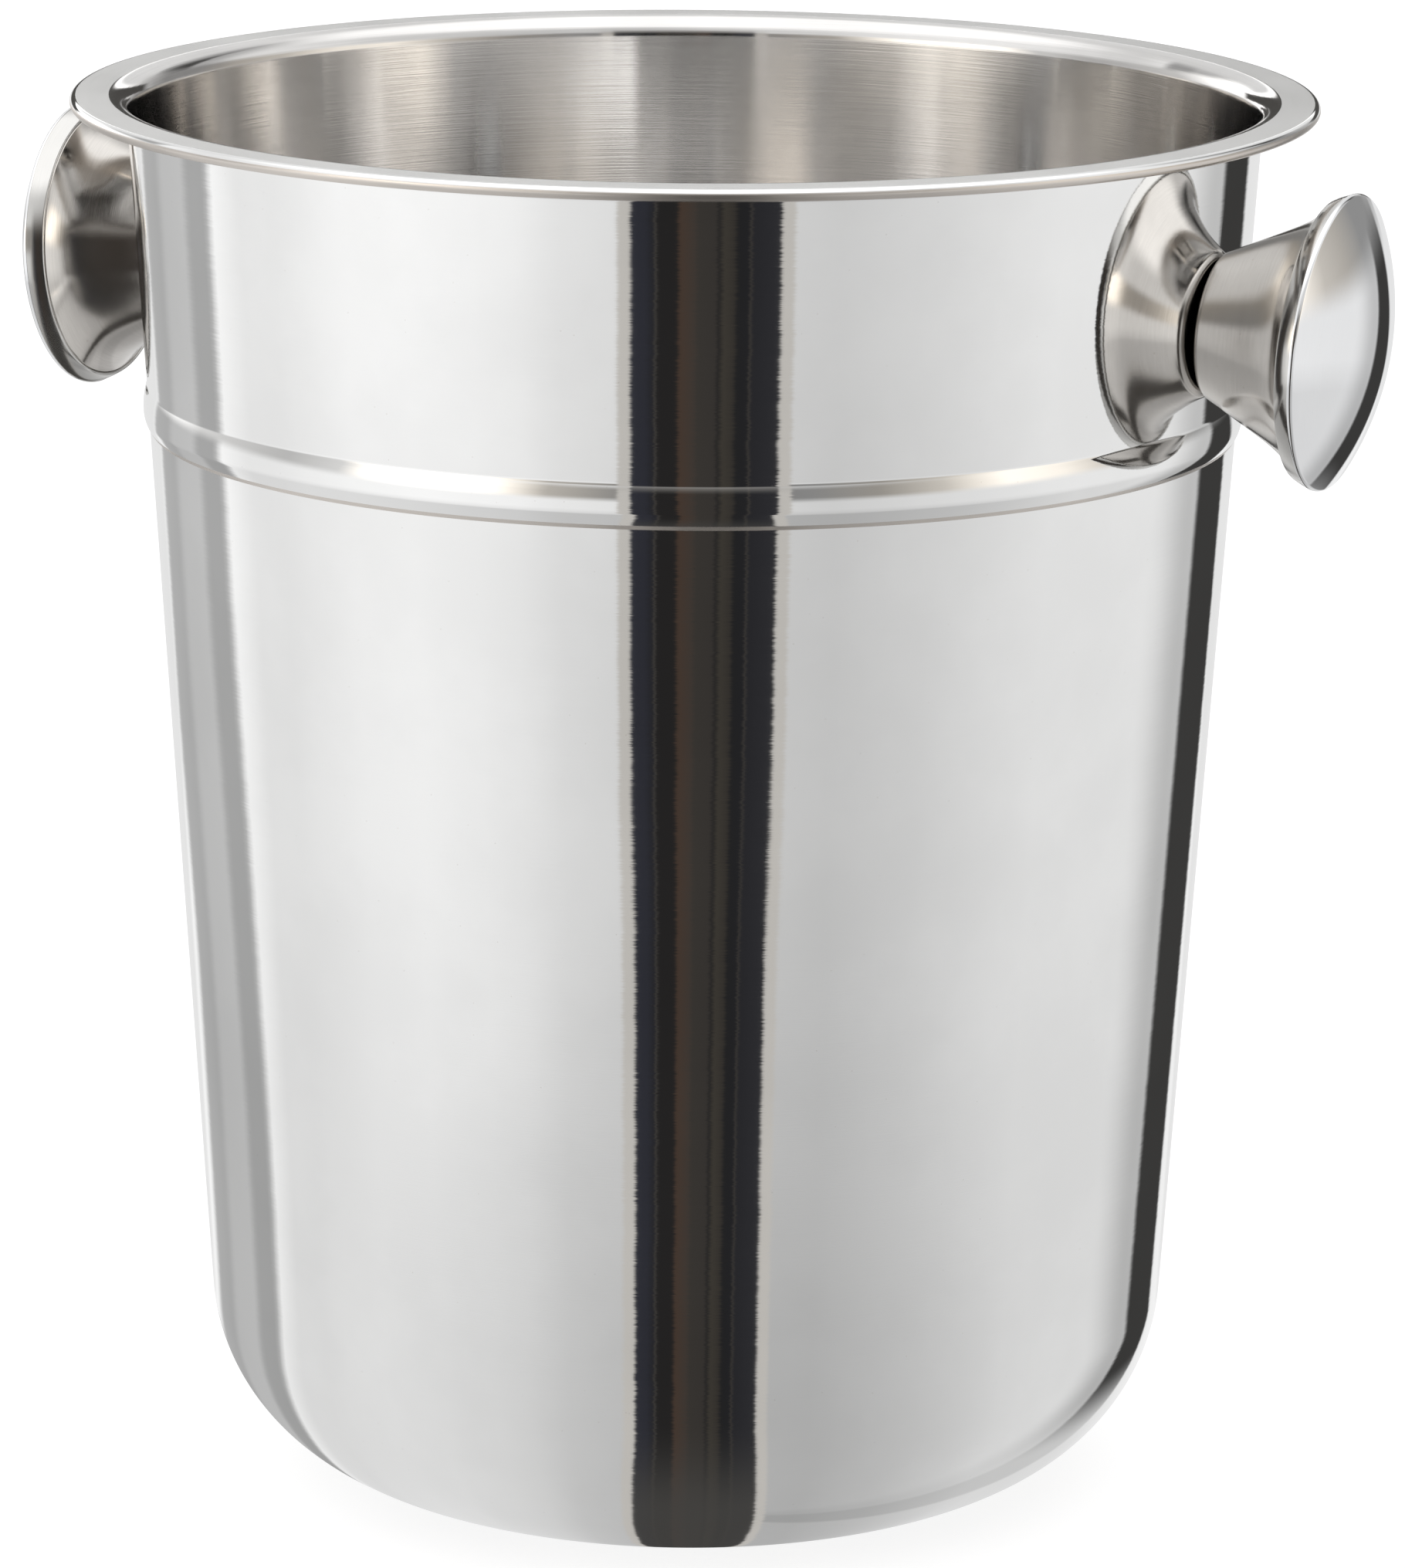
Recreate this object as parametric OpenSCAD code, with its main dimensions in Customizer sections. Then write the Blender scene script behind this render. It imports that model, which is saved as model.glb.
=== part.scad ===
// Champagne bucket: a spun steel bucket with a rolled rim and a bead, and two trumpet
// knobs held by screws from inside.
// Origin: centre of the base, on the table. +Z up, the knobs lie along +X and -X.

/* [Bucket] */
// Outer diameter over the rolled rim
rim_d = 230; // [222:1:245]
// Height from the table to the top of the rim
height = 262; // [250:1:290]
// Outer diameter that the wall's straight line reaches at the height of the rim
mouth_d = 209.5; // [200:0.5:212]
// Taper of the wall from vertical, in degrees
taper = 3.65; // [2:0.05:4.5]
// Thickness of the bucket's sheet
sheet_t = 0.8; // [0.6:0.1:1.2]
// Outer radius of the corner between wall and base
corner_r = 37.5; // [25:0.5:42]

/* [Rim] */
// Radius of the bend under the flange
bend_r = 3.3; // [2:0.1:4]
// Thickness of the folded edge of the rim
hem_t = 2.2; // [1.8:0.1:3]
// Width of the folded edge of the rim
hem_w = 3.4; // [2.6:0.1:4]

/* [Bead] */
// Height of the crest of the bead
bead_z = 203.3; // [120:0.1:206]
// How far the crest stands out from the wall
bead_out = 0.95; // [0.5:0.05:1.2]
// Length of the bead's gentle upper side
bead_rise = 5; // [3:0.1:7]
// Length of the bead's steep lower side
bead_fall = 3.1; // [2:0.1:5]

/* [Base] */
// Radius of the raised middle of the base
dish_r = 43; // [30:1:48]
// Width of the slope round the raised middle
dish_slope_w = 12; // [6:1:16]
// How far the middle of the base is raised
dish_h = 1.6; // [0.8:0.1:3]

/* [Knobs] */
// Height at which a knob's axis meets the wall
knob_z = 226.5; // [224:0.5:232]
// Diameter of the horn beside the wall
neck_d = 27.4; // [24:0.1:30]
// Radius of the rounded edge beside the wall
neck_edge_r = 2.4; // [1.5:0.1:3]
// Diameter over the lip of the cap
lip_d = 53.8; // [50:0.1:58]
// Distance from the wall to the middle of the lip
lip_h = 23.3; // [20:0.1:28]
// Radius of the lip's rounded front edge
lip_r = 0.85; // [0.8:0.05:1.1]
// How far the lip's skirt reaches back from the middle of the lip
skirt_w = 3.2; // [2.6:0.1:4]
// Rise of the cap's crown above the middle of the lip
crown_h = 7.6; // [5:0.1:12]
// Angle between the horn's side and the knob's axis
neck_angle = 26.3; // [22:0.1:27]
// Thickness of the knob's sheet
knob_t = 0.8; // [0.6:0.1:0.9]

/* [Fasteners] */
// Thread diameter of the knob screw
screw_d = 5; // [4:0.5:5]
// Length of the screw under its head
screw_len = 12; // [10:1:14]
// Diameter of the clearance holes for the screw
hole_d = 5.5; // [5.3:0.1:6]
// Diameter of the washer and of the seal under it
washer_d = 15; // [12:0.5:16]
// Thickness of the steel washer
washer_t = 1.2; // [0.8:0.1:1.6]
// Distance from the washer to the wall at the axis, which the seal fills
seal_t = 1; // [0.8:0.1:1.5]

/* [Hidden] */
$fn = 120;

polished = [0.86, 0.87, 0.88];
satin = [0.72, 0.70, 0.67];
hardware = [0.66, 0.67, 0.69];
rubber = [0.82, 0.82, 0.80];

rim_r = rim_d / 2;
mouth_r = mouth_d / 2;
corner_steps = 20;
bend_steps = 9;
bead_steps = 7;
hem_steps = 10;
dish_steps = 12;

// The wall runs up along wall_up, and wall_out points out of it at right angles.
wall_up = [sin(taper), cos(taper)];
wall_out = [cos(taper), -sin(taper)];
mouth = [mouth_r, height];

// Centre of the corner arc, one corner_r inside the wall's line and above the table
corner_c = [mouth_r - (corner_r + (height - corner_r) * sin(taper)) / cos(taper), corner_r];
// Centre of the bend under the flange, one bend_r outside the wall's line
bend_cz = height - sheet_t - bend_r;
bend_c = [mouth_r + (bend_r - (height - bend_cz) * sin(taper)) / cos(taper), bend_cz];
hem_c = [rim_r - hem_t / 2, height - hem_t / 2];

// Radii of the two arcs that meet at the bead's crest
bead_upper_r = (bead_rise * bead_rise + bead_out * bead_out) / (2 * bead_out);
bead_lower_r = (bead_fall * bead_fall + bead_out * bead_out) / (2 * bead_out);
bead_run = (height - bead_z) / cos(taper);

// Knob: h is the distance out from the wall along the knob's axis.
wall_gap = 0.1;
knob_wall_r = mouth_r - (height - knob_z) * tan(taper);
lip_c = [lip_d / 2 - lip_r, lip_h];
crown_r = (crown_h * crown_h + lip_c[0] * lip_c[0] - lip_r * lip_r) / (2 * (crown_h - lip_r));
crown_c = [0, lip_h + crown_h - crown_r];
lip_end_angle = atan2(lip_c[1] - crown_c[1], lip_c[0]);

// The horn ends in a collar that widens towards the crown. The cap's skirt is pressed over
// it, and the skirt's bare edge meets the horn in the crease.
skirt_cover = 1.25;
crease_r = lip_c[0] - skirt_cover;
crease_h = lip_h - skirt_w;
collar_clear = 0.05;
collar_r = lip_d / 2 - knob_t - 2 * collar_clear;
crown_inner_r = crown_r - knob_t;
seat_r = collar_r + collar_clear;
seat_h = crown_c[1] + sqrt(crown_inner_r * crown_inner_r - seat_r * seat_r);
collar_h = seat_h - collar_clear;

// The skirt swells in one arc from its bare edge to a small step behind the lip.
skirt_edge_r = 0.35;
collar_lean = (collar_r - crease_r) / (collar_h - crease_h);
skirt_edge_c = [crease_r + collar_clear + (1 + collar_lean) * skirt_edge_r,
    crease_h + skirt_edge_r];
skirt_step = 0.1;
skirt_r = 11;
skirt_c = swell_centre(skirt_edge_c, skirt_edge_r, lip_c, lip_r - skirt_step, skirt_r);
skirt_a0 = heading(skirt_edge_c - skirt_c);
skirt_a1 = heading(lip_c - skirt_c);
skirt_steps = 8;

neck_r = neck_d / 2;
neck_h = wall_gap + neck_edge_r * (1 - sin(neck_angle));
neck_c = [neck_r - neck_edge_r * cos(neck_angle), wall_gap + neck_edge_r];
horn_len = crease_h - neck_h;
// The horn widens in a straight cone and, just before the skirt, by the rest
cone_gain = horn_len * tan(neck_angle);
flare_gain = crease_r - neck_r - cone_gain;
flare_power = 8;
horn_steps = 16;
edge_steps = 6;
crown_steps = 16;

insert_flange_r = 8;
insert_flange_t = 1.6;
insert_body_r = 4.5;
insert_top = 10;
insert_base = wall_gap + knob_t;
thread_clear = 0.05;

head_d = 9.5;
head_h = 3.7;
head_crown_r = 8;
recess_w = 1.2;
recess_l = 5.4;
recess_depth = 2.1;
seal_face = -sheet_t - seal_t;
head_face = seal_face - washer_t;

// Points of an arc about c from angle a0 to a1
function arc(c, r, a0, a1, n) =
    [for (i = [0:n]) let (a = a0 + (a1 - a0) * i / n) c + r * [cos(a), sin(a)]];

function backwards(points) = [for (i = [len(points) - 1:-1:0]) points[i]];

function without_first(points) = [for (i = [1:len(points) - 1]) points[i]];

function heading(v) = atan2(v[1], v[0]);

// Centre of an arc of radius r that is tangent to circles about c0 and c1 and holds both inside
function swell_centre(c0, r0, c1, r1, r) =
    let (
        d = norm(c1 - c0),
        along = (c1 - c0) / d,
        aside = [-along[1], along[0]],
        a = (d * d + (r - r0) * (r - r0) - (r - r1) * (r - r1)) / (2 * d)
    )
    c0 + a * along + sqrt((r - r0) * (r - r0) - a * a) * aside;

// A point on the wall: run is the distance down it from the mouth, out is how far it is proud
function wall_point(run, out) = mouth - run * wall_up + out * wall_out;

// The bead, from below: one arc up to the crest and a wider one back to the wall
function bead_line(inset) =
    [for (i = [-bead_steps:bead_steps])
        let (
            r = i < 0 ? bead_lower_r : bead_upper_r,
            a = acos((r - bead_out - inset) / (r - inset)) * i / bead_steps
        )
        wall_point(bead_run - (r - inset) * sin(a), bead_out - r + (r - inset) * cos(a))];

// The base, from the axis to the corner, with its raised middle
function base_line(inset) = concat(
    [[0, dish_h + inset]],
    [for (i = [0:dish_steps])
        [dish_r - dish_slope_w + dish_slope_w * i / dish_steps,
            dish_h * (1 + cos(180 * i / dish_steps)) / 2 + inset]]
);

// One face of the sheet from the axis to the flange. inset is the depth from the outer face.
function face_line(inset) = concat(
    base_line(inset),
    arc(corner_c, corner_r - inset, -90, -taper, corner_steps),
    bead_line(inset),
    arc(bend_c, bend_r + inset, 180 - taper, 90, bend_steps)
);

// The folded edge, from the underside of the flange round to its top
function hem_line() = concat(
    [[rim_r - hem_w, height - sheet_t], [rim_r - hem_w, height - hem_t]],
    arc(hem_c, hem_t / 2, -90, 90, hem_steps)
);

// A point in the horn's wall at a share u of its length, inset from its outer face
function horn_point(u, inset) =
    let (
        r = neck_r + cone_gain * u + flare_gain * pow(u, flare_power),
        tilt = atan((cone_gain + flare_power * flare_gain * pow(u, flare_power - 1)) / horn_len)
    )
    [r - inset * cos(tilt), neck_h + horn_len * u + inset * sin(tilt)];

// The horn's points lie closer together towards the lip, where it curves most
function horn_line(inset) =
    [for (i = [0:horn_steps]) horn_point(sin(90 * i / horn_steps), inset)];

// Places its children with +Z along a knob's axis and the origin on the wall
module at_knob(side) {
    rotate([0, 0, side > 0 ? 0 : 180])
        translate([knob_wall_r, 0, knob_z])
            rotate([0, 90 + taper, 0])
                children();
}

// The screw's hole through the bucket, from inside to outside
module knob_hole() {
    translate([0, 0, -4])
        cylinder(d = hole_d, h = 8);
}

module bucket_shell() {
    color(polished)
    difference() {
        rotate_extrude()
            polygon(concat(face_line(0), hem_line(), backwards(face_line(sheet_t))));
        for (side = [-1, 1])
            at_knob(side) knob_hole();
    }
}

module knob_horn(side) {
    color(satin)
    at_knob(side)
        rotate_extrude()
            polygon(concat(
                [[hole_d / 2, wall_gap]],
                arc(neck_c, neck_edge_r, -90, -neck_angle, edge_steps),
                without_first(horn_line(0)),
                [[collar_r, collar_h], [collar_r - knob_t, collar_h]],
                backwards(horn_line(knob_t)),
                without_first(arc(neck_c, neck_edge_r - knob_t, -neck_angle, -90, edge_steps)),
                [[hole_d / 2, wall_gap + knob_t]]
            ));
}

module knob_cap(side) {
    color(polished)
    at_knob(side)
        rotate_extrude()
            polygon(concat(
                arc(crown_c, crown_inner_r, 90, heading([seat_r, seat_h] - crown_c), crown_steps),
                arc(skirt_edge_c, skirt_edge_r, 180, 360 + skirt_a0, edge_steps),
                without_first(arc(skirt_c, skirt_r, skirt_a0, skirt_a1, skirt_steps)),
                arc(lip_c, lip_r, skirt_a1, lip_end_angle, hem_steps),
                without_first(arc(crown_c, crown_r, lip_end_angle, 90, crown_steps))
            ));
}

// Threaded insert that is welded inside the horn before the cap is folded on
module knob_insert(side) {
    color(hardware)
    at_knob(side)
        difference() {
            union() {
                translate([0, 0, insert_base])
                    cylinder(r = insert_flange_r, h = insert_flange_t);
                translate([0, 0, insert_base])
                    cylinder(r = insert_body_r, h = insert_top - insert_base);
            }
            cylinder(d = screw_d + 2 * thread_clear, h = insert_top + 1);
        }
}

module knob_screw(side) {
    crown_angle = asin(head_d / 2 / head_crown_r);
    tip = head_face + screw_len;
    tip_bevel = 0.6;
    color(hardware)
    at_knob(side)
        difference() {
            rotate_extrude()
                polygon(concat(
                    [[0, tip], [screw_d / 2 - tip_bevel, tip], [screw_d / 2, tip - tip_bevel],
                        [screw_d / 2, head_face], [head_d / 2, head_face]],
                    arc([0, head_face - head_h + head_crown_r], head_crown_r,
                        crown_angle - 90, -90, edge_steps)
                ));
            for (turn = [0, 90])
                rotate([0, 0, turn + 45])
                    translate([-recess_l / 2, -recess_w / 2, head_face - head_h - 1])
                        cube([recess_l, recess_w, recess_depth + 1]);
        }
}

module knob_washer(side) {
    color(hardware)
    at_knob(side)
        translate([0, 0, head_face])
            difference() {
                cylinder(d = washer_d, h = washer_t);
                translate([0, 0, -1])
                    cylinder(d = hole_d, h = washer_t + 2);
            }
}

// Soft seal, flat against the washer and curved to the inside of the wall
module knob_seal(side) {
    seal_reach = 12;
    color(rubber)
    intersection() {
        at_knob(side)
            translate([0, 0, seal_face])
                difference() {
                    cylinder(d = washer_d, h = seal_t + 2);
                    translate([0, 0, -1])
                        cylinder(d = hole_d, h = seal_t + 4);
                }
        inside_wall(knob_z - seal_reach, knob_z + seal_reach);
    }
}

// The space inside the wall between two heights
module inside_wall(z0, z1) {
    r0 = mouth_r - (height - z0) * tan(taper) - sheet_t / cos(taper);
    r1 = mouth_r - (height - z1) * tan(taper) - sheet_t / cos(taper);
    translate([0, 0, z0])
        cylinder(r1 = r0, r2 = r1, h = z1 - z0, $fn = 720);
}

bucket_shell();
knob_horn(1);  // knob_horn_right
knob_cap(1);  // knob_cap_right
knob_insert(1);  // knob_insert_right
knob_screw(1);  // knob_screw_right
knob_washer(1);  // knob_washer_right
knob_seal(1);  // knob_seal_right
knob_horn(-1);  // knob_horn_left
knob_cap(-1);  // knob_cap_left
knob_insert(-1);  // knob_insert_left
knob_screw(-1);  // knob_screw_left
knob_washer(-1);  // knob_washer_left
knob_seal(-1);  // knob_seal_left
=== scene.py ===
import math

import bmesh
import bpy
from mathutils import Matrix, Quaternion, Vector


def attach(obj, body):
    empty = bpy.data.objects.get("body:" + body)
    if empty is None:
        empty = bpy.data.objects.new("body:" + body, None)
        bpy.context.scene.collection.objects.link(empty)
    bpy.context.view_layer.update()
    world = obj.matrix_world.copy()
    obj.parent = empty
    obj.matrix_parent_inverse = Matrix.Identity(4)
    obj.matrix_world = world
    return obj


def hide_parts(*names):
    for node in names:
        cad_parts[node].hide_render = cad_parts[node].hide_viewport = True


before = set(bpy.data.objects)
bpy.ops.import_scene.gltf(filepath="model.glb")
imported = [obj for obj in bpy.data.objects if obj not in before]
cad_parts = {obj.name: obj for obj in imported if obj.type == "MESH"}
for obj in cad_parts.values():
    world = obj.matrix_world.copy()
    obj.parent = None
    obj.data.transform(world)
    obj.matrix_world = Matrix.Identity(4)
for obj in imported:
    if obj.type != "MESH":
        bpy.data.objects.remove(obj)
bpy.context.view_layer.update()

MM = 0.001

# Bucket
RIM_R = 115 * MM
HEIGHT = 262 * MM
MOUTH_R = 104.75 * MM
TAPER = math.radians(3.65)
SHEET_T = 0.8 * MM
CORNER_R = 37.5 * MM
BEND_R = 3.3 * MM
HEM_T = 2.2 * MM
HEM_W = 3.4 * MM
BEAD_Z = 203.3 * MM
BEAD_OUT = 0.95 * MM
BEAD_RISE = 5 * MM
BEAD_FALL = 3.1 * MM
DISH_R = 43 * MM
DISH_SLOPE_W = 12 * MM
DISH_H = 1.6 * MM

# Knobs: h is the distance out from the wall along a knob's axis
KNOB_Z = 226.5 * MM
NECK_R = 13.7 * MM
NECK_EDGE_R = 2.4 * MM
NECK_ANGLE = math.radians(26.3)
FLARE_POWER = 8
KNOB_T = 0.8 * MM
WALL_GAP = 0.1 * MM
LIP_OUT = 26.9 * MM
LIP_R = 0.85 * MM
LIP_C = Vector((LIP_OUT - LIP_R, 23.3 * MM))
CROWN_H = 7.6 * MM
SKIRT_W = 3.2 * MM
SKIRT_COVER = 1.25 * MM
SKIRT_EDGE_R = 0.35 * MM
SKIRT_STEP = 0.1 * MM
SKIRT_R = 11 * MM
COLLAR_CLEAR = 0.05 * MM
HOLE_R = 2.75 * MM

# Steps round a turned piece, and the support rings beside its creases
SHELL_STEPS = 288
KNOB_STEPS = 144
CORNER_STEPS = 60
BEAD_STEPS = 14
BEAD_LINE_STEPS = 4
HEM_SATIN_STEPS = 17
SUPPORT_GAP = 0.3 * MM
CREASE_ANGLE = math.radians(32)

# Camera, and the direction in which it sees the bucket
CAMERA_AT = Vector((545.0, -1263.5, 461.5)) * MM
CAMERA_TARGET = Vector((0, 0, 130.9)) * MM
CAMERA_LENS = 172.5
CAMERA_ROLL = math.radians(0.45)
CAMERA_SHIFT = 0.0081
VIEW_FROM = (CAMERA_AT - CAMERA_TARGET).normalized()
FRONT = Vector((CAMERA_AT.x, CAMERA_AT.y, 0)).normalized()
RIGHT = Vector((-FRONT.y, FRONT.x, 0))


# ---------------------------------------------------------------- turned shapes


def arc(centre, radius, start, end, steps):
    """Points of an arc in the (radius, height) plane, angles in radians."""
    angles = [start + (end - start) * i / steps for i in range(steps + 1)]
    return [centre + radius * Vector((math.cos(a), math.sin(a))) for a in angles]


def wall_point(run, out):
    """run is the distance down the wall from the mouth, out is how far it is proud."""
    up = Vector((math.sin(TAPER), math.cos(TAPER)))
    side = Vector((math.cos(TAPER), -math.sin(TAPER)))
    return Vector((MOUTH_R, HEIGHT)) - run * up + out * side


def bead_line(inset):
    steps = BEAD_STEPS
    points = []
    run = (HEIGHT - BEAD_Z) / math.cos(TAPER)
    for i in range(-steps, steps + 1):
        length = BEAD_FALL if i < 0 else BEAD_RISE
        r = (length**2 + BEAD_OUT**2) / (2 * BEAD_OUT)
        a = math.acos((r - BEAD_OUT - inset) / (r - inset)) * i / steps
        points.append(
            wall_point(
                run - (r - inset) * math.sin(a),
                BEAD_OUT - r + (r - inset) * math.cos(a),
            )
        )
    return points


def base_line(inset, steps=24):
    points = [Vector((0, DISH_H + inset))]
    for i in range(steps + 1):
        share = i / steps
        rise = DISH_H * (1 + math.cos(math.pi * share)) / 2
        points.append(Vector((DISH_R - DISH_SLOPE_W * (1 - share), rise + inset)))
    return points


def wall_line(inset):
    """The wall from the base's edge to the flange: inset is the depth from the outer face."""
    foot = (HEIGHT - CORNER_R) * math.sin(TAPER)
    corner = Vector((MOUTH_R - (CORNER_R + foot) / math.cos(TAPER), CORNER_R))
    bend_z = HEIGHT - SHEET_T - BEND_R
    drop = (HEIGHT - bend_z) * math.sin(TAPER)
    bend = Vector((MOUTH_R + (BEND_R - drop) / math.cos(TAPER), bend_z))
    return (
        arc(corner, CORNER_R - inset, -math.pi / 2, -TAPER, CORNER_STEPS)
        + bead_line(inset)
        + arc(bend, BEND_R + inset, math.pi - TAPER, math.pi / 2, 24)
    )


def hem_line():
    centre = Vector((RIM_R - HEM_T / 2, HEIGHT - HEM_T / 2))
    return [
        Vector((RIM_R - HEM_W, HEIGHT - SHEET_T)),
        Vector((RIM_R - HEM_W, HEIGHT - HEM_T)),
    ] + arc(centre, HEM_T / 2, -math.pi / 2, math.pi / 2, 24)


def supported(points):
    """Adds a ring close to each end of a long straight, so that its normals stay true."""
    out = []
    for a, b in zip(points, points[1:]):
        out.append(a)
        length = (b - a).length
        if length > 4 * SUPPORT_GAP:
            step = (b - a) * (SUPPORT_GAP / length)
            out += [a + step, b - step]
    return out + [points[-1]]


def lathe(name, runs, materials, steps, closed, place=Matrix.Identity(4)):
    """Turns a line round Z. runs is [(material's index, points)], and the runs join up."""
    points, faces_of = [], []
    for index, run in runs:
        run = supported(run)
        if points and (points[-1] - run[0]).length < 1e-7:
            run = run[1:]
            faces_of[-1] = index
        points += run
        faces_of += [index] * len(run)
    mesh = bmesh.new()
    rings = []
    for p in points:
        if p.x < 1e-7:
            rings.append([mesh.verts.new((0, 0, p.y))] * steps)
            continue
        turns = [2 * math.pi * i / steps for i in range(steps)]
        rings.append([mesh.verts.new((p.x * math.cos(t), p.x * math.sin(t), p.y)) for t in turns])
    pairs = list(zip(rings, rings[1:], faces_of))
    if closed:
        pairs.append((rings[-1], rings[0], faces_of[-1]))
    for low, high, index in pairs:
        for i in range(steps):
            j = (i + 1) % steps
            corners = list(dict.fromkeys([low[i], low[j], high[j], high[i]]))
            face = mesh.faces.new(corners)
            face.material_index = index
            face.smooth = True
    bmesh.ops.recalc_face_normals(mesh, faces=mesh.faces)
    data = bpy.data.meshes.new(name)
    mesh.to_mesh(data)
    mesh.free()
    data.set_sharp_from_angle(angle=CREASE_ANGLE)
    for m in materials:
        data.materials.append(m)
    piece = bpy.data.objects.new(name, data)
    bpy.context.scene.collection.objects.link(piece)
    piece.matrix_world = place
    return piece


def knob_place(side):
    """+Z along a knob's axis, with the origin on the wall. side is +1 or -1."""
    wall_r = MOUTH_R - (HEIGHT - KNOB_Z) * math.tan(TAPER)
    return (
        Matrix.Rotation(0 if side > 0 else math.pi, 4, "Z")
        @ Matrix.Translation((wall_r, 0, KNOB_Z))
        @ Matrix.Rotation(math.pi / 2 + TAPER, 4, "Y")
    )


def cut_hole(piece, place, radius, reach):
    """Cuts a round hole along place's Z axis through the piece's mesh."""
    data = bpy.data.meshes.new("hole")
    tool = bmesh.new()
    bmesh.ops.create_cone(
        tool, cap_ends=True, segments=48, radius1=radius, radius2=radius, depth=2 * reach
    )
    tool.to_mesh(data)
    tool.free()
    cutter = bpy.data.objects.new("hole", data)
    bpy.context.scene.collection.objects.link(cutter)
    cutter.matrix_world = place
    cut = piece.modifiers.new("hole", "BOOLEAN")
    cut.operation = "DIFFERENCE"
    cut.solver = "EXACT"
    cut.object = cutter
    bpy.context.view_layer.update()
    whole = piece.data
    graph = bpy.context.evaluated_depsgraph_get()
    piece.data = bpy.data.meshes.new_from_object(piece.evaluated_get(graph))
    piece.modifiers.clear()
    bpy.data.objects.remove(cutter)
    bpy.data.meshes.remove(whole)


# ---------------------------------------------------------------- node helpers


class Nodes:
    """Short calls for adding nodes to a tree. Inputs are sockets or plain values."""

    def __init__(self, tree):
        self.tree = tree

    def add(self, kind, inputs=(), **settings):
        node = self.tree.nodes.new(kind)
        for key, value in settings.items():
            setattr(node, key, value)
        for key, value in dict(inputs).items():
            if isinstance(value, bpy.types.NodeSocket):
                self.tree.links.new(value, node.inputs[key])
            else:
                node.inputs[key].default_value = value
        return node

    def math(self, operation, *values, clamp=False):
        made = self.add("ShaderNodeMath", enumerate(values), operation=operation, use_clamp=clamp)
        return made.outputs[0]

    def vector(self, operation, *values):
        made = self.add("ShaderNodeVectorMath", enumerate(values), operation=operation)
        return made.outputs["Value" if operation in ("DOT_PRODUCT", "LENGTH") else "Vector"]

    def scaled(self, vector, factor):
        made = self.add("ShaderNodeVectorMath", {0: vector, "Scale": factor}, operation="SCALE")
        return made.outputs["Vector"]

    def remap(self, value, low, high, to_low, to_high, smooth=False):
        made = self.add(
            "ShaderNodeMapRange",
            {
                "Value": value,
                "From Min": low,
                "From Max": high,
                "To Min": to_low,
                "To Max": to_high,
            },
            interpolation_type="SMOOTHSTEP" if smooth else "LINEAR",
        )
        return made.outputs["Result"]

    def mix(self, share, a, b, **settings):
        made = self.add("ShaderNodeMix", {0: share, 6: a, 7: b}, data_type="RGBA", **settings)
        return made.outputs[2]

    def grey(self, level):
        return self.add("ShaderNodeCombineColor", {0: level, 1: level, 2: level}).outputs[0]

    def noise(self, vector, scale, detail=2.0, rough=0.5):
        made = self.add(
            "ShaderNodeTexNoise",
            {"Vector": vector, "Scale": scale, "Detail": detail, "Roughness": rough},
        )
        return made.outputs["Fac"]


def grey(level, warm=0.0):
    """A light grey to dark grey in linear light, warmed or cooled a little."""
    return (level * (1 + warm), level, level * (1 - 1.4 * warm), 1)


def spun_position(n, across, along):
    """Object coordinates stretched round Z: fine across the lines that spinning leaves."""
    place = n.add("ShaderNodeTexCoord").outputs["Object"]
    part = n.add("ShaderNodeSeparateXYZ", {0: place})
    flat = n.add("ShaderNodeCombineXYZ", {0: part.outputs[0], 1: part.outputs[1]}).outputs[0]
    radius = n.vector("LENGTH", flat)
    step = n.math("MULTIPLY", n.math("ADD", radius, part.outputs[2]), across)
    x = n.math("MULTIPLY", part.outputs[0], along)
    y = n.math("MULTIPLY", part.outputs[1], along)
    return n.add("ShaderNodeCombineXYZ", {0: x, 1: y, 2: step}).outputs[0]


def ring_direction(n):
    """Unit vector round Z, in the world, at each point of the surface."""
    place = n.add("ShaderNodeTexCoord").outputs["Object"]
    ring = n.vector("NORMALIZE", n.vector("CROSS_PRODUCT", (0, 0, 1), place))
    made = n.add(
        "ShaderNodeVectorTransform",
        {0: ring},
        vector_type="VECTOR",
        convert_from="OBJECT",
        convert_to="WORLD",
    )
    return made.outputs[0]


def new_material(name):
    made = bpy.data.materials.new(name)
    made.use_nodes = True
    made.node_tree.nodes.clear()
    n = Nodes(made.node_tree)
    shader = n.add("ShaderNodeBsdfPrincipled")
    out = n.add("ShaderNodeOutputMaterial", {"Surface": shader.outputs[0]})
    out.location = (300, 0)
    return made, n, shader


SPECK_PITCH = 2.4 * MM
SPECK_SIZE = 0.16 * MM
SPECK_RARITY = 0.72
# Colour of the painted shade in the crevice at a knob's foot, against the wall
CREVICE_SHADE_TONE = (0.10, 0.07, 0.05, 1)


def specks(n, pitch, size):
    """A mask of small sparse dots, pitch apart on average."""
    place = n.add("ShaderNodeTexCoord").outputs["Object"]
    cells = n.add("ShaderNodeTexVoronoi", {"Vector": place, "Scale": 1 / pitch})
    chosen = n.add("ShaderNodeSeparateColor", {0: cells.outputs["Color"]}).outputs[0]
    dot = n.remap(cells.outputs["Distance"], 0.6 * size / pitch, size / pitch, 1, 0)
    return n.math("MULTIPLY", dot, n.math("GREATER_THAN", chosen, SPECK_RARITY))


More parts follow.
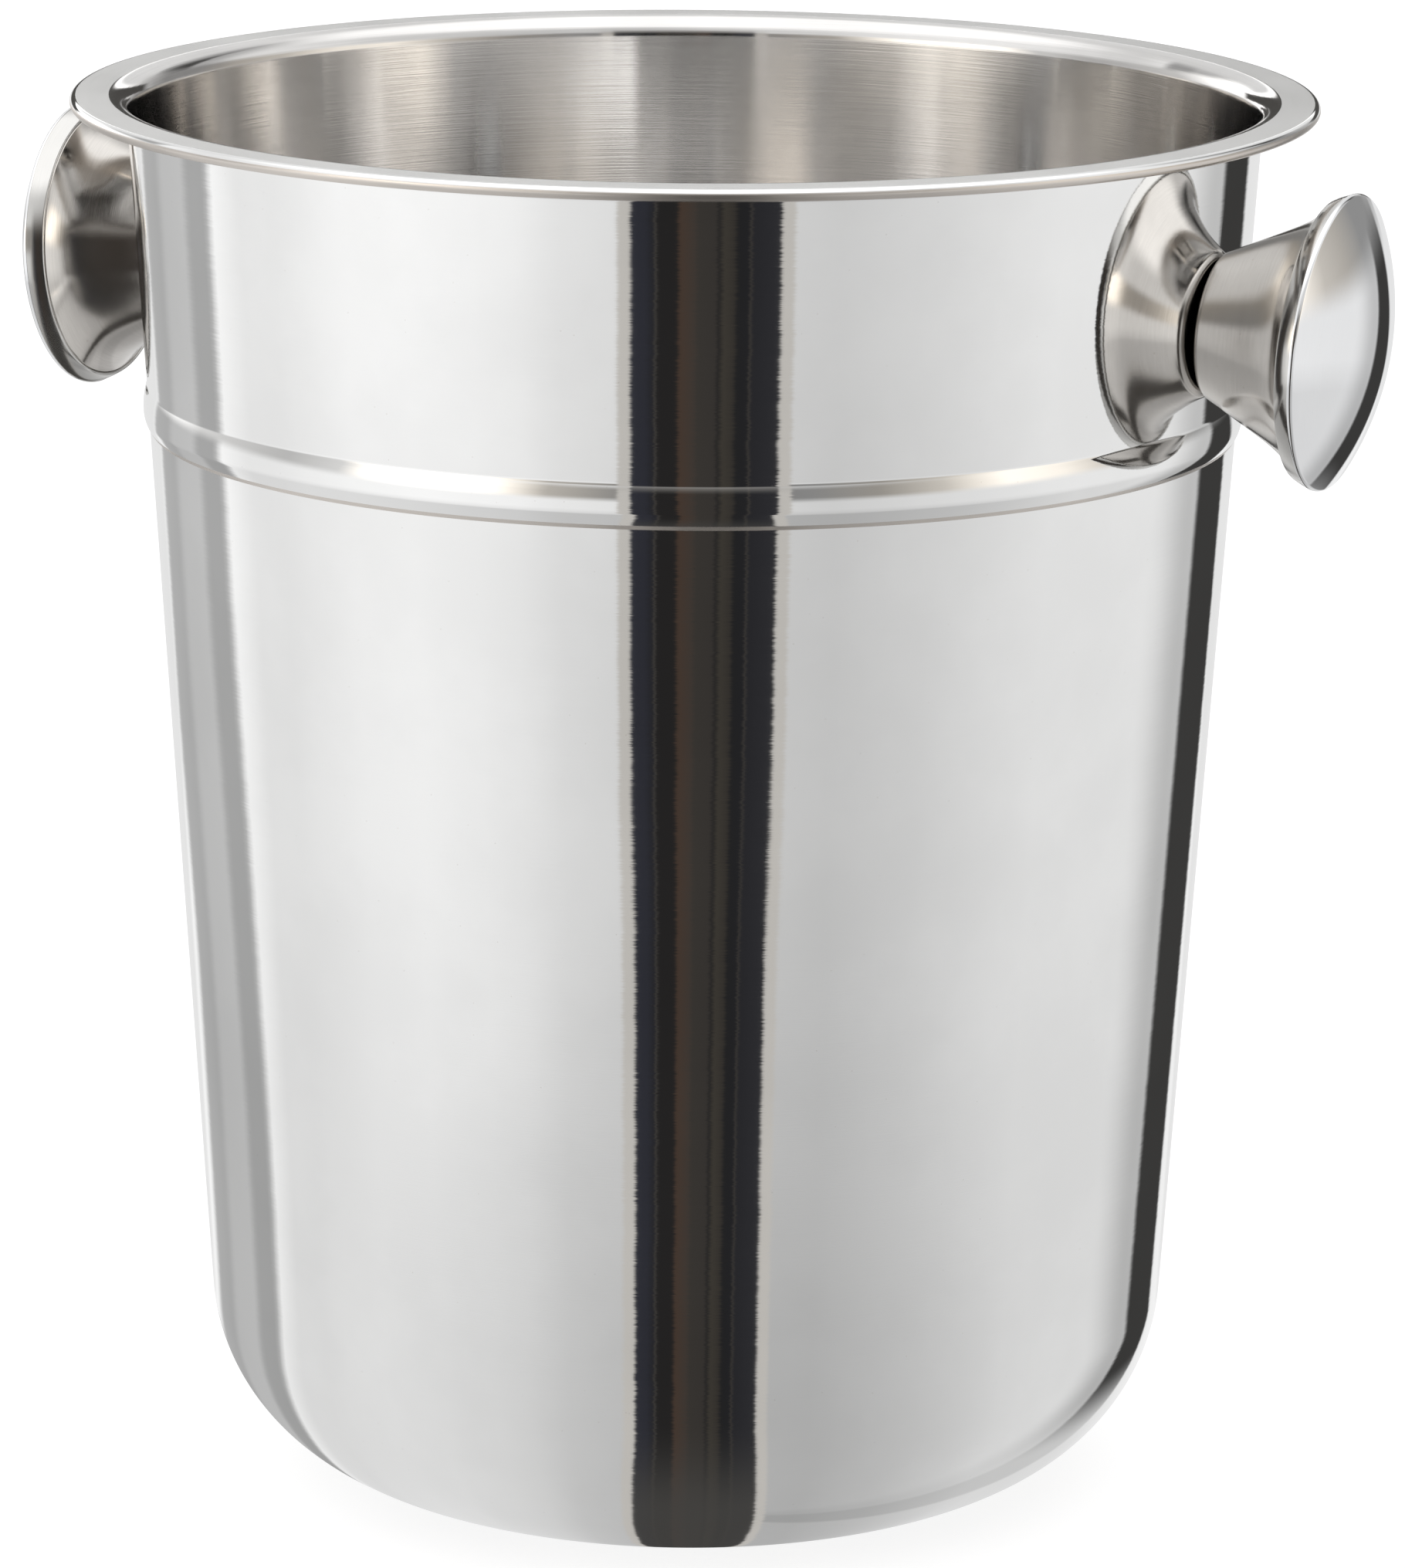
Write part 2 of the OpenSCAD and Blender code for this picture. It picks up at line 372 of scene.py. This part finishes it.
def steel(
    name,
    colour,
    rough,
    stretch,
    line_bump,
    sway,
    mottle,
    line_pitch=0.35 * MM,
    line_length=25 * MM,
    dots=0.0,
    crevice_shade=0.0,
):
    """Spun and polished steel.

    stretch blurs reflections across the spinning lines, line_bump is the lines' depth, sway
    tilts the surface a little along the lines, which breaks up the edges of reflections,
    mottle is how uneven the polish is, dots is how dark its specks are, and the last argument
    is painted shade: it darkens a knob's foot by that share, in the crevice against the wall.
    """
    made, n, shader = new_material(name)
    place = n.add("ShaderNodeTexCoord").outputs["Object"]
    lines = n.noise(spun_position(n, 1 / line_pitch, 1 / line_length), 1.0, 3.0, 0.6)
    fine = n.noise(spun_position(n, 2.7 / line_pitch, 4 / line_length), 1.0, 2.0, 0.5)
    wave = n.noise(spun_position(n, 0.05 / line_pitch, 0.4 / line_length), 1.0, 2.0, 0.5)
    cloud = n.noise(place, 28.0, 4.0, 0.55)
    ring = ring_direction(n)

    lean = n.math("MULTIPLY", n.math("SUBTRACT", lines, 0.5), sway)
    lean = n.math("ADD", lean, n.math("MULTIPLY", n.math("SUBTRACT", wave, 0.5), 0.4 * sway))
    normal = n.add("ShaderNodeNewGeometry").outputs["Normal"]
    swayed = n.vector("NORMALIZE", n.vector("ADD", normal, n.scaled(ring, lean)))
    bump = n.add(
        "ShaderNodeBump",
        {"Height": fine, "Strength": 1.0, "Distance": line_bump, "Normal": swayed},
    )

    pale = tuple(min(1, c * 1.04) for c in colour) + (1,)
    deep = tuple(c * (1 - 0.10 * mottle) for c in colour) + (1,)
    tone = n.mix(n.remap(cloud, 0.35, 0.68, 0, 1, smooth=True), deep, pale)
    streak = n.grey(n.remap(fine, 0.3, 0.7, 1 - 0.05 * mottle, 1 + 0.02 * mottle))
    tone = n.mix(1.0, tone, streak, blend_type="MULTIPLY")
    if dots:
        stain = tuple(c * s for c, s in zip(colour, (0.55, 0.48, 0.42))) + (1,)
        tone = n.mix(n.math("MULTIPLY", specks(n, SPECK_PITCH, SPECK_SIZE), dots), tone, stain)
    # Painted shade: darker towards the knob's foot, in the crevice where it meets the wall
    if crevice_shade:
        depth = n.add("ShaderNodeSeparateXYZ", {0: place}).outputs[2]
        foot = n.remap(depth, 0.2 * MM, 0.9 * MM, crevice_shade, 0, smooth=True)
        tone = n.mix(foot, tone, CREVICE_SHADE_TONE)

    polish = n.math("MULTIPLY", n.remap(cloud, 0.3, 0.7, 1 - 0.3 * mottle, 1 + 0.4 * mottle), rough)
    links = n.tree.links.new
    links(tone, shader.inputs["Base Color"])
    links(polish, shader.inputs["Roughness"])
    links(bump.outputs[0], shader.inputs["Normal"])
    if stretch:
        links(ring, shader.inputs["Tangent"])
        shader.inputs["Anisotropic"].default_value = stretch
        shader.inputs["Anisotropic Rotation"].default_value = 0.25
    shader.inputs["Metallic"].default_value = 1.0
    return made


def silicone():
    made, n, shader = new_material("seal_silicone")
    place = n.add("ShaderNodeTexCoord").outputs["Object"]
    cloud = n.noise(place, 900.0, 3.0)
    shade = n.mix(n.remap(cloud, 0.35, 0.65, 0, 1), (0.74, 0.74, 0.72, 1), (0.86, 0.86, 0.84, 1))
    bump = n.add("ShaderNodeBump", {"Height": cloud, "Distance": 0.02 * MM})
    n.tree.links.new(shade, shader.inputs["Base Color"])
    n.tree.links.new(n.remap(cloud, 0.3, 0.7, 0.42, 0.6), shader.inputs["Roughness"])
    n.tree.links.new(bump.outputs[0], shader.inputs["Normal"])
    shader.inputs["Subsurface Weight"].default_value = 0.25
    shader.inputs["Subsurface Scale"].default_value = 0.5 * MM
    return made


# ---------------------------------------------------------------- pieces


def add_shell(outside, inside, rim, painted_underside_reflection):
    """The bucket: mirror outside, brushed inside, satin on the flange, and satin on the undersides
    of the bead and the hem, whose warm colour is a painted reflection of the floor below.
    """
    flange_top = [hem_line()[-1], wall_line(SHEET_T)[-1]]
    inner = (base_line(SHEET_T)[:-1] + wall_line(SHEET_T))[::-1]
    outer = wall_line(0)
    hem = hem_line()
    low = CORNER_STEPS + 1
    high = low + BEAD_LINE_STEPS
    # Index 3 is satin whose warm colour is a painted reflection of the floor below: the bead's
    # underside and the hem's lower side
    runs = [
        (0, base_line(0)[:-1] + outer[: low + 1]),
        (3, outer[low : high + 1]),
        (0, outer[high:]),
        (3, hem[: HEM_SATIN_STEPS + 1]),
        (0, hem[HEM_SATIN_STEPS:]),
        (2, flange_top),
        (1, inner),
    ]
    materials = [outside, inside, rim, painted_underside_reflection]
    piece = lathe("bucket", runs, materials, SHELL_STEPS, closed=False)
    for side in (-1, 1):
        cut_hole(piece, knob_place(side), HOLE_R, 4 * MM)
    piece.data.set_sharp_from_angle(angle=CREASE_ANGLE)
    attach(piece, "root")
    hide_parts("bucket_shell")


def heading(v):
    return math.atan2(v.y, v.x)


def swell_centre(c0, r0, c1, r1, r):
    """Centre of an arc of radius r, tangent to circles about c0 and c1 that lie inside it."""
    along = c1 - c0
    d = along.length
    along /= d
    a = (d * d + (r - r0) ** 2 - (r - r1) ** 2) / (2 * d)
    return c0 + a * along + math.sqrt((r - r0) ** 2 - a * a) * Vector((-along.y, along.x))


# The cap's crown, the seat inside it, and the horn's collar that stands in the seat
CROWN_R = (CROWN_H**2 + LIP_C.x**2 - LIP_R**2) / (2 * (CROWN_H - LIP_R))
CROWN_C = Vector((0, LIP_C.y + CROWN_H - CROWN_R))
CREASE = Vector((LIP_C.x - SKIRT_COVER, LIP_C.y - SKIRT_W))
SEAT_R = LIP_OUT - KNOB_T - COLLAR_CLEAR
SEAT = Vector((SEAT_R, CROWN_C.y + math.sqrt((CROWN_R - KNOB_T) ** 2 - SEAT_R**2)))
COLLAR = SEAT - Vector((COLLAR_CLEAR, COLLAR_CLEAR))


def horn_line(inset, steps=40):
    """The horn's side, with its points closer together towards the lip, where it flares."""
    foot = WALL_GAP + NECK_EDGE_R * (1 - math.sin(NECK_ANGLE))
    length = CREASE.y - foot
    cone_gain = length * math.tan(NECK_ANGLE)
    flare_gain = CREASE.x - NECK_R - cone_gain
    points = []
    for i in range(steps + 1):
        u = math.sin(math.pi / 2 * i / steps)
        r = NECK_R + cone_gain * u + flare_gain * u**FLARE_POWER
        rise = FLARE_POWER * flare_gain * u ** (FLARE_POWER - 1)
        tilt = math.atan((cone_gain + rise) / length)
        points.append(
            Vector((r - inset * math.cos(tilt), foot + length * u + inset * math.sin(tilt)))
        )
    return points


def add_horn(side, word, material):
    edge = Vector((NECK_R - NECK_EDGE_R * math.cos(NECK_ANGLE), WALL_GAP + NECK_EDGE_R))
    down = -math.pi / 2
    outer = arc(edge, NECK_EDGE_R, down, -NECK_ANGLE, 12) + horn_line(0)[1:]
    collar = [COLLAR, COLLAR - Vector((KNOB_T, 0))]
    inner = horn_line(KNOB_T)[::-1] + arc(edge, NECK_EDGE_R - KNOB_T, -NECK_ANGLE, down, 12)[1:]
    start = Vector((HOLE_R, WALL_GAP))
    end = Vector((HOLE_R, WALL_GAP + KNOB_T))
    runs = [(0, [start] + outer + collar + inner + [end])]
    piece = lathe("horn_" + word, runs, [material], KNOB_STEPS, True, knob_place(side))
    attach(piece, "root")
    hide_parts("knob_horn_" + word)


def add_cap(side, word, crown, skirt):
    """The domed front of a knob, with its skirt pressed over the horn's collar."""
    top = math.pi / 2
    lip_end = heading(LIP_C - CROWN_C)
    lean = (COLLAR.x - CREASE.x) / (COLLAR.y - CREASE.y)
    edge_x = CREASE.x + COLLAR_CLEAR + (1 + lean) * SKIRT_EDGE_R
    edge = Vector((edge_x, CREASE.y + SKIRT_EDGE_R))
    centre = swell_centre(edge, SKIRT_EDGE_R, LIP_C, LIP_R - SKIRT_STEP, SKIRT_R)
    a0 = heading(edge - centre)
    a1 = heading(LIP_C - centre)
    hidden = arc(CROWN_C, CROWN_R - KNOB_T, top, heading(SEAT - CROWN_C), 32)
    swell = arc(edge, SKIRT_EDGE_R, math.pi, 2 * math.pi + a0, 12)
    swell += arc(centre, SKIRT_R, a0, a1, 20)[1:]
    front = arc(LIP_C, LIP_R, a1, lip_end, 20)
    front += arc(CROWN_C, CROWN_R, lip_end, top, 40)[1:]
    runs = [(1, hidden + swell + front[:1]), (0, front)]
    piece = lathe("cap_" + word, runs, [crown, skirt], KNOB_STEPS, False, knob_place(side))
    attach(piece, "root")
    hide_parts("knob_cap_" + word)


def finish_hardware(word, metal, rubber):
    """Materials for the CAD's own fasteners, which show inside the bucket."""
    for kind, material, slot in (
        ("insert", metal, "fastener_steel"),
        ("screw", metal, "fastener_steel"),
        ("washer", metal, "fastener_steel"),
        ("seal", rubber, "seal_silicone"),
    ):
        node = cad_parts["knob_" + kind + "_" + word]
        node.data.materials.clear()
        node.data.materials.append(material)


# ---------------------------------------------------------------- studio

# Levels are in linear light. Directions are in degrees from the side that the picture is taken
# from, positive to the right. A direction's side and tilt are those of a surface that mirrors
# it to that side, behind is the direction's own bearing, and climb its own height.

# Level round the bucket, by twice the side, for what is level with it and below
SURROUND = (
    (-180, 0.80), (-157, 0.80), (-153, 0.37), (-144, 0.35), (-140, 0.43), (-129, 0.45),
    (-126, 0.33), (-118.5, 0.33), (-115.5, 0.80), (-106, 0.69), (-95, 0.70), (-75, 0.80),
    (-60, 0.83), (-45, 0.80), (-36, 0.76), (-27, 0.68), (-15, 0.64), (20, 0.55), (30, 0.53),
    (50, 0.59), (65, 0.65), (80, 0.70), (95, 0.69), (116, 0.68), (150, 0.77), (180, 0.80),
)

# Level by bearing, a little above: the brushed inside shows it after several bounces
ABOVE = (
    (-180, 1.60), (-169, 2.10), (-153, 2.05), (-137, 1.45), (-122, 0.70), (-107, 0.60),
    (-92, 0.50), (-77, 0.70), (-62, 2.05), (-48, 1.75), (-30, 0.45), (-10, 0.20), (10, 0.20),
    (24, 0.25), (39, 0.30), (53, 0.55), (68, 1.15), (82, 1.00), (97, 0.55), (112, 0.42),
    (128, 0.28), (143, 0.28), (159, 0.60), (175, 1.50), (180, 1.60),
)
ABOVE_TOP = 2.1
ABOVE_WARM = 0.065
WARM_LEFT = (-70, -25)
WARM_RIGHT = (38, 115)

# What shows across the dark gap, from its left edge at -1 to its right edge at 1
GAP_TONES = (
    (-1.00, (0.027, 0.028, 0.037)), (-0.80, (0.026, 0.027, 0.035)), (-0.69, (0.019, 0.019, 0.022)),
    (-0.675, (0.060, 0.055, 0.050)), (-0.64, (0.018, 0.017, 0.017)), (-0.39, (0.018, 0.017, 0.017)),
    (-0.34, (0.060, 0.040, 0.030)), (-0.16, (0.050, 0.040, 0.034)), (-0.10, (0.040, 0.036, 0.032)),
    (0.13, (0.038, 0.034, 0.031)), (0.17, (0.020, 0.019, 0.019)), (0.24, (0.046, 0.041, 0.034)),
    (0.37, (0.036, 0.032, 0.028)), (0.42, (0.017, 0.017, 0.018)), (0.57, (0.017, 0.017, 0.019)),
    (0.59, (0.052, 0.047, 0.042)), (0.62, (0.021, 0.021, 0.024)), (1.00, (0.027, 0.027, 0.031)),
)

GAP_MIDDLE = 1.22
GAP_HALF_LOW = 7.05
GAP_HALF_HIGH = 7.55
GAP_WIDER_BELOW = 1.1
GAP_BELOW = grey(0.06, 0.04)
TRIM = grey(0.50, 0.04)
PANEL = grey(0.042, 0.02)
PANEL_SHADE = 0.42
LIMB = grey(0.80)
FLANGE = grey(0.80)
LOW_BACK = grey(0.07, 0.04)
TOP_LIGHT = grey(1.35)
BACKDROP = grey(1.0)
WALL_FOOT_TILT = -6
FLOOR_REACH = 8.0
DEGREE = math.pi / 180


def ramp(n, share, stops):
    """A colour ramp, from stops as (position from 0 to 1, colour)."""
    node = n.add("ShaderNodeValToRGB", {"Fac": share})
    made = node.color_ramp.elements
    while len(made) > 1:
        made.remove(made[-1])
    made[0].position = 0
    made[0].color = stops[0][1]
    for position, colour in stops[1:]:
        made.new(position).color = colour
    return node.outputs["Color"]


def all_round(n, turn, levels, top=1.0, warm=0.0):
    """The level in each direction, as a smooth band between the stops, warmer at the sides."""

    def warmth(a):
        inside = WARM_LEFT[0] < a < WARM_LEFT[1] or WARM_RIGHT[0] < a < WARM_RIGHT[1]
        return warm if inside else 0.1 * warm

    share = n.math("ADD", n.math("MULTIPLY", turn, 1 / 360), 0.5)
    stops = [(a / 360 + 0.5, grey(level / top, warmth(a))) for a, level in levels]
    return n.mix(1.0, ramp(n, share, stops), grey(top), blend_type="MULTIPLY")


def bearing(n, vector):
    """A direction's bearing in degrees, from the FRONT towards the RIGHT."""
    ahead = n.vector("DOT_PRODUCT", vector, tuple(FRONT))
    aside = n.vector("DOT_PRODUCT", vector, tuple(RIGHT))
    return n.math("DIVIDE", n.math("ARCTAN2", aside, ahead), DEGREE)


def height(n, vector):
    """How far a unit vector climbs, in degrees."""
    up = n.add("ShaderNodeSeparateXYZ", {0: vector}).outputs[2]
    return n.math("DIVIDE", n.math("ARCSINE", up), DEGREE)


def wall_climb(n, side, tilt):
    """How far a mirrored direction climbs, in degrees, held level from the wall's foot down."""
    held = n.math("MULTIPLY", n.math("MAXIMUM", tilt, WALL_FOOT_TILT), DEGREE)
    up = n.math("SINE", held)
    turned = n.math("COSINE", n.math("MULTIPLY", side, DEGREE))
    ahead = n.math("MULTIPLY", n.math("COSINE", held), turned)
    level = math.hypot(VIEW_FROM.x, VIEW_FROM.y)
    seen = n.math("ADD", n.math("MULTIPLY", ahead, level), n.math("MULTIPLY", up, VIEW_FROM.z))
    rise = n.math("SUBTRACT", n.math("MULTIPLY", n.math("MULTIPLY", seen, up), 2), VIEW_FROM.z)
    return n.math("DIVIDE", n.math("ARCSINE", rise), DEGREE)


def level_round(n, side, turn, tilt):
    """Level with the bucket and below: brighter high up, and the left's strips lean a little."""
    lean = n.math("MULTIPLY", n.remap(tilt, -6, -2, 4, 0), n.remap(turn, -112, -102, 1, 0))
    light = all_round(n, n.math("SUBTRACT", turn, lean), SURROUND)
    climb = wall_climb(n, side, tilt)
    slope = n.remap(climb, -24, -14, 0.97, 1.22)
    slope = n.math("MULTIPLY", slope, n.remap(climb, -25.5, -22, 0.82, 1))
    return n.mix(1.0, light, n.grey(slope), blend_type="MULTIPLY")


def dark_panel(n, light, behind, tilt):
    """A dark panel behind the bucket on the right, with a soft shade before its edge."""
    edge = n.remap(behind, 133, 138, 0, 1, smooth=True)
    panel = n.math("MAXIMUM", n.remap(behind, 114, 133, 0, PANEL_SHADE, smooth=True), edge)
    panel = n.math("MULTIPLY", panel, n.remap(behind, 154, 157, 1, 0, smooth=True))
    panel = n.math("MULTIPLY", panel, n.remap(tilt, -38, -18, 0.2, 1, smooth=True))
    return n.mix(panel, light, PANEL)


def dark_gap(n, light, side, tilt):
    """The gap that the picture is taken through: dark streaks, with a warm trim on each side."""
    half = n.math(
        "ADD",
        n.remap(tilt, -4.3, -3.6, GAP_HALF_LOW, GAP_HALF_HIGH),
        n.remap(tilt, -45, -10, GAP_WIDER_BELOW, 0),
    )
    across = n.math("SUBTRACT", side, GAP_MIDDLE)
    off = n.math("SUBTRACT", n.math("ABSOLUTE", across), half)
    level_only = n.remap(tilt, 12, 26, 1, 0, smooth=True)
    trim = n.math("MULTIPLY", n.remap(off, 1.1, 1.6, 1, 0, smooth=True), level_only)
    light = n.mix(trim, light, TRIM)
    share = n.math("ADD", n.math("MULTIPLY", n.math("DIVIDE", across, half), 0.5), 0.5)
    dark = ramp(n, share, [((place + 1) / 2, tone + (1,)) for place, tone in GAP_TONES])
    dark = n.mix(n.remap(tilt, -40, -6, 0.8, 0, smooth=True), dark, GAP_BELOW)
    gap = n.math("MULTIPLY", n.remap(off, -0.2, 0.2, 1, 0, smooth=True), level_only)
    return n.mix(gap, light, dark)


def straight_behind(n, light, turn, behind, tilt, climb):
    """What the limbs mirror, then what the inside and the flange mirror."""
    limb = n.remap(n.math("ABSOLUTE", turn), 154, 158, 0, 1, smooth=True)
    limb = n.math("MULTIPLY", limb, n.remap(climb, -4, 5, 1, 0))
    light = n.mix(limb, light, LIMB)
    low = n.remap(n.math("ABSOLUTE", behind), 152, 158, 0, 1, smooth=True)
    low = n.math("MULTIPLY", low, n.remap(climb, -1, 2, 0, 1))
    low = n.math("MULTIPLY", low, n.remap(climb, 9, 10, 1, 0))
    light = n.mix(low, light, LOW_BACK)
    flat = n.remap(tilt, 45, 65, 0, 1, smooth=True)
    flat = n.math("MULTIPLY", flat, n.remap(climb, 10.5, 12.5, 0, 1))
    return n.mix(flat, light, FLANGE)


def add_studio():
    """A bright room with a dark gap, a dark panel and a soft light on top.

    What polished steel mirrors is set by the way it faces, so the room is laid out by the
    facing of a surface that mirrors each direction to the side the picture is taken from.
    The layout is fixed in the room: it doesn't move with the camera.
    """
    world = bpy.data.worlds.new("studio")
    bpy.context.scene.world = world
    world.use_nodes = True
    world.node_tree.nodes.clear()
    n = Nodes(world.node_tree)
    ray = n.add("ShaderNodeTexCoord").outputs["Generated"]
    facing = n.vector("NORMALIZE", n.vector("ADD", ray, tuple(VIEW_FROM)))
    climb = height(n, ray)
    tilt = height(n, facing)
    side = bearing(n, facing)
    turn = n.math("MULTIPLY", side, 2)
    behind = bearing(n, ray)

    light = level_round(n, side, turn, tilt)
    light = dark_panel(n, light, behind, tilt)
    above = n.remap(climb, -4, 5, 0, 1, smooth=True)
    above = n.math("MULTIPLY", above, n.remap(climb, 15, 24, 1, 0, smooth=True))
    light = n.mix(above, light, all_round(n, behind, ABOVE, ABOVE_TOP, ABOVE_WARM))
    light = dark_gap(n, light, side, tilt)
    light = straight_behind(n, light, turn, behind, tilt, climb)
    light = n.mix(n.remap(climb, 38, 58, 0, 1, smooth=True), light, TOP_LIGHT)

    seen = n.add("ShaderNodeLightPath").outputs["Is Camera Ray"]
    light = n.mix(seen, light, BACKDROP)
    sky = n.add("ShaderNodeBackground", {"Color": light, "Strength": 1.0})
    n.add("ShaderNodeOutputWorld", {"Surface": sky.outputs[0]})


def add_floor():
    made, n, shader = new_material("studio_floor")
    shader.inputs["Base Color"].default_value = (0.32, 0.32, 0.32, 1)
    shader.inputs["Roughness"].default_value = 0.8
    shader.inputs["Specular IOR Level"].default_value = 0.1
    shader.inputs["Emission Color"].default_value = (1, 1, 1, 1)
    shader.inputs["Emission Strength"].default_value = 0.8
    data = bpy.data.meshes.new("studio_floor")
    reach = FLOOR_REACH
    corners = [(-reach, -reach, 0), (reach, -reach, 0), (reach, reach, 0), (-reach, reach, 0)]
    data.from_pydata(corners, [], [(0, 1, 2, 3)])
    data.materials.append(made)
    floor = bpy.data.objects.new("studio_floor", data)
    bpy.context.scene.collection.objects.link(floor)
    # The studio stands for what the steel mirrors, below the floor's edge as well
    floor.visible_glossy = False


def add_camera():
    data = bpy.data.cameras.new("view_camera")
    data.sensor_width = 36
    data.lens = CAMERA_LENS
    data.shift_x = CAMERA_SHIFT
    data.clip_end = 30
    camera = bpy.data.objects.new("view_camera", data)
    bpy.context.scene.collection.objects.link(camera)
    camera.location = CAMERA_AT
    camera.rotation_mode = "QUATERNION"
    aim = (CAMERA_TARGET - CAMERA_AT).to_track_quat("-Z", "Y")
    camera.rotation_quaternion = aim @ Quaternion((0, 0, 1), CAMERA_ROLL)
    bpy.context.scene.camera = camera


def steels():
    """The steel finishes. Lengths in metres, the rest as steel() says."""
    return {
        "mirror": steel(
            "mirror_outside", (0.93, 0.93, 0.925), rough=0.035, stretch=0,
            line_bump=0.0008 * MM, sway=0.015, mottle=0.08, line_pitch=0.25 * MM, dots=0.2,
        ),
        "inside": steel(
            "brushed_inside", (0.81, 0.798, 0.785), rough=0.085, stretch=1.0,
            line_bump=0.010 * MM, sway=0.003, mottle=0.7, line_pitch=0.9 * MM,
            line_length=90 * MM,
        ),
        "rim": steel(
            "satin_rim", (0.90, 0.90, 0.89), rough=0.22, stretch=0.3,
            line_bump=0.001 * MM, sway=0.01, mottle=0.2,
        ),
        # Painted reflection: a warm colour on the undersides of the bead and the hem, for the floor
        # that they mirror; its roughness makes it satin
        "painted_underside_reflection": steel(
            "satin_painted_underside_reflection", (0.80, 0.75, 0.70), rough=0.33, stretch=0,
            line_bump=0.002 * MM, sway=0.01, mottle=0.6,
        ),
        # The horn gets painted shade round its foot, in the crevice against the wall
        "horn": steel(
            "satin_horn", (0.73, 0.70, 0.665), rough=0.12, stretch=0.5,
            line_bump=0.004 * MM, sway=0.02, mottle=1.3, dots=0.8, crevice_shade=0.4,
        ),
        "crown": steel(
            "mirror_cap", (0.93, 0.935, 0.945), rough=0.03, stretch=0,
            line_bump=0.0005 * MM, sway=0.004, mottle=0.15, dots=0.1,
        ),
        "skirt": steel(
            "polished_skirt", (0.73, 0.72, 0.70), rough=0.13, stretch=0.4,
            line_bump=0.001 * MM, sway=0.01, mottle=0.5,
        ),
        "fastener": steel(
            "fastener_steel", (0.68, 0.69, 0.70), rough=0.28, stretch=0.4,
            line_bump=0.004 * MM, sway=0.02, mottle=0.8,
        ),
    }


def build():
    finish = steels()
    rubber = silicone()
    add_shell(finish["mirror"], finish["inside"], finish["rim"], finish["painted_underside_reflection"])
    for side, word in ((1, "right"), (-1, "left")):
        add_horn(side, word, finish["horn"])
        add_cap(side, word, finish["crown"], finish["skirt"])
        finish_hardware(word, finish["fastener"], rubber)
    add_studio()
    add_floor()
    add_camera()
    bpy.context.scene.view_settings.view_transform = "Standard"


build()
